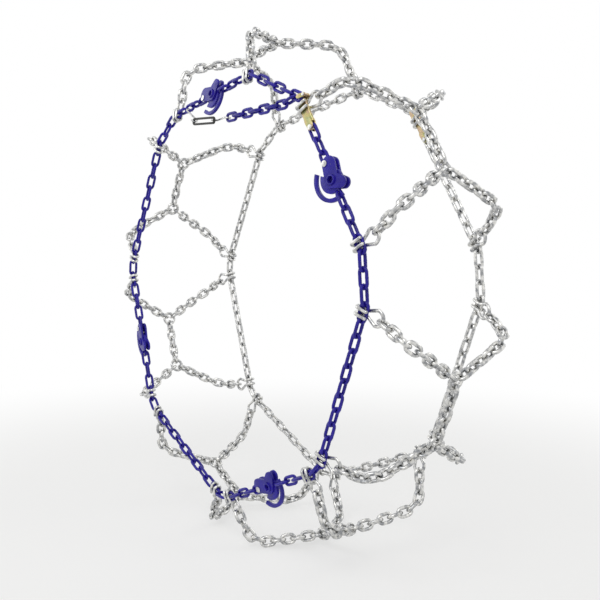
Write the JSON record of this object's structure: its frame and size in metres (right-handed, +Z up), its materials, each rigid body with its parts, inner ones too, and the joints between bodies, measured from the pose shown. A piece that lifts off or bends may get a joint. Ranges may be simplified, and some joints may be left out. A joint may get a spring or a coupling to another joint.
{
  "type": "tire snow chains",
  "caption": "Truck tire snow chain net: cross chains in a double Y over the tread, two side chains, hooks, tensioning cams, a joint hook and a rubber tie, as fitted.",
  "frame": {"origin": "centre of the wheel that the net is fitted to, midway between the two side chains", "axes": "+Y along the wheel's axle towards the inner side, -Y towards the outer face with the cams, +Z up, +X to the right seen from outside"},
  "size_m": [1.0859, 0.3171, 1.0897],
  "materials": {
    "zinc_steel": "bright zinc-plated steel, satin",
    "blue_paint": "satin blue enamel on steel",
    "yellow_zinc": "yellow-passivated zinc plating, satin",
    "black_rubber": "matt black moulded rubber"
  },
  "bodies": {
    "net": {"cross_chain_1": "zinc_steel", "cross_chain_2": "zinc_steel", "cross_chain_3": "zinc_steel", "cross_chain_4": "zinc_steel", "cross_chain_5": "zinc_steel", "cross_chain_6": "zinc_steel", "cross_chain_7": "zinc_steel", "bridge_chain_1": "zinc_steel", "bridge_chain_2": "zinc_steel", "bridge_chain_3": "zinc_steel", "bridge_chain_4": "zinc_steel", "bridge_chain_5": "zinc_steel", "bridge_chain_6": "zinc_steel", "bridge_chain_7": "zinc_steel", "outer_cross_hooks": "zinc_steel", "inner_cross_hooks": "zinc_steel", "outer_side_chain_1": "blue_paint", "outer_side_chain_2": "blue_paint", "outer_side_chain_3": "blue_paint", "outer_side_chain_4": "blue_paint", "outer_side_chain_5": "blue_paint", "inner_side_chain_1": "zinc_steel", "inner_side_chain_2": "zinc_steel", "inner_side_chain_3": "zinc_steel", "inner_side_chain_4": "zinc_steel", "cam_front_plate_1": "blue_paint", "cam_front_plate_3": "blue_paint", "cam_front_plate_5": "blue_paint", "cam_front_plate_7": "blue_paint", "cam_back_plate_1": "blue_paint", "cam_back_plate_3": "blue_paint", "cam_back_plate_5": "blue_paint", "cam_back_plate_7": "blue_paint", "cam_anchor_rivets": "zinc_steel", "joint_hook": "yellow_zinc", "joint_hook_pins": "zinc_steel", "inner_joint_hook": "yellow_zinc", "inner_joint_hook_pins": "zinc_steel", "tail_chain": "blue_paint", "tail_s_hooks": "zinc_steel", "tail_rubber_tie": "black_rubber"},
    "cam_disc_1": {"cam_disc_1": "blue_paint"},
    "take_up_link_1": {"take_up_link_1": "blue_paint"},
    "cam_disc_3": {"cam_disc_3": "blue_paint"},
    "take_up_link_3": {"take_up_link_3": "blue_paint"},
    "cam_disc_5": {"cam_disc_5": "blue_paint"},
    "take_up_link_5": {"take_up_link_5": "blue_paint"},
    "cam_disc_7": {"cam_disc_7": "blue_paint"},
    "take_up_link_7": {"take_up_link_7": "blue_paint"},
    "joint_hook_keeper": {"joint_hook_keeper": "yellow_zinc"},
    "inner_joint_hook_keeper": {"inner_joint_hook_keeper": "yellow_zinc"}
  },
  "joints": [
    {"name": "cam_1_turn", "type": "hinge", "parent": "net", "child": "cam_disc_1", "pos_m": [0.36179, -0.145, 0.20722], "axis": [0.1473, -0.9848, 0.092], "range_deg": [0, 130]},
    {"name": "take_up_1_pull", "type": "slide", "parent": "net", "child": "take_up_link_1", "axis": [0.5299, 0, -0.848], "range_m": [0, 0.00901]},
    {"name": "cam_3_turn", "type": "hinge", "parent": "net", "child": "cam_disc_3", "pos_m": [0.16734, -0.145, -0.38187], "axis": [0.0635, -0.9848, -0.1616], "range_deg": [0, 130]},
    {"name": "take_up_3_pull", "type": "slide", "parent": "net", "child": "take_up_link_3", "axis": [0.9306, 0, 0.3659], "range_m": [0, 0.00901]},
    {"name": "cam_5_turn", "type": "hinge", "parent": "net", "child": "cam_disc_5", "pos_m": [-0.38989, -0.145, -0.14769], "axis": [-0.1646, -0.9848, -0.0552], "range_deg": [0, 130]},
    {"name": "take_up_5_pull", "type": "slide", "parent": "net", "child": "take_up_link_5", "axis": [0.3181, 0, -0.9481], "range_m": [0, 0.00901]},
    {"name": "cam_7_turn", "type": "hinge", "parent": "net", "child": "cam_disc_7", "pos_m": [-0.04226, -0.145, 0.41478], "axis": [-0.0242, -0.9848, 0.172], "range_deg": [0, 130]},
    {"name": "take_up_7_pull", "type": "slide", "parent": "net", "child": "take_up_link_7", "axis": [0.9902, 0, 0.1394], "range_m": [0, 0.00901]},
    {"name": "keeper_swing", "type": "hinge", "parent": "net", "child": "joint_hook_keeper", "pos_m": [0.27699, -0.14266, 0.36801], "axis": [0.1473, -0.9848, 0.092], "range_deg": [-75, 0]},
    {"name": "inner_keeper_swing", "type": "hinge", "parent": "net", "child": "inner_joint_hook_keeper", "pos_m": [0.27699, 0.14266, 0.36801], "axis": [0.1473, 0.9848, 0.092], "range_deg": [0, 75]}
  ],
  "couplings": [
    {"joint": "take_up_1_pull", "follows": "cam_1_turn", "m_per_rad": 0.0039666},
    {"joint": "take_up_3_pull", "follows": "cam_3_turn", "m_per_rad": 0.0039666},
    {"joint": "take_up_5_pull", "follows": "cam_5_turn", "m_per_rad": 0.0039666},
    {"joint": "take_up_7_pull", "follows": "cam_7_turn", "m_per_rad": 0.0039666}
  ]
}
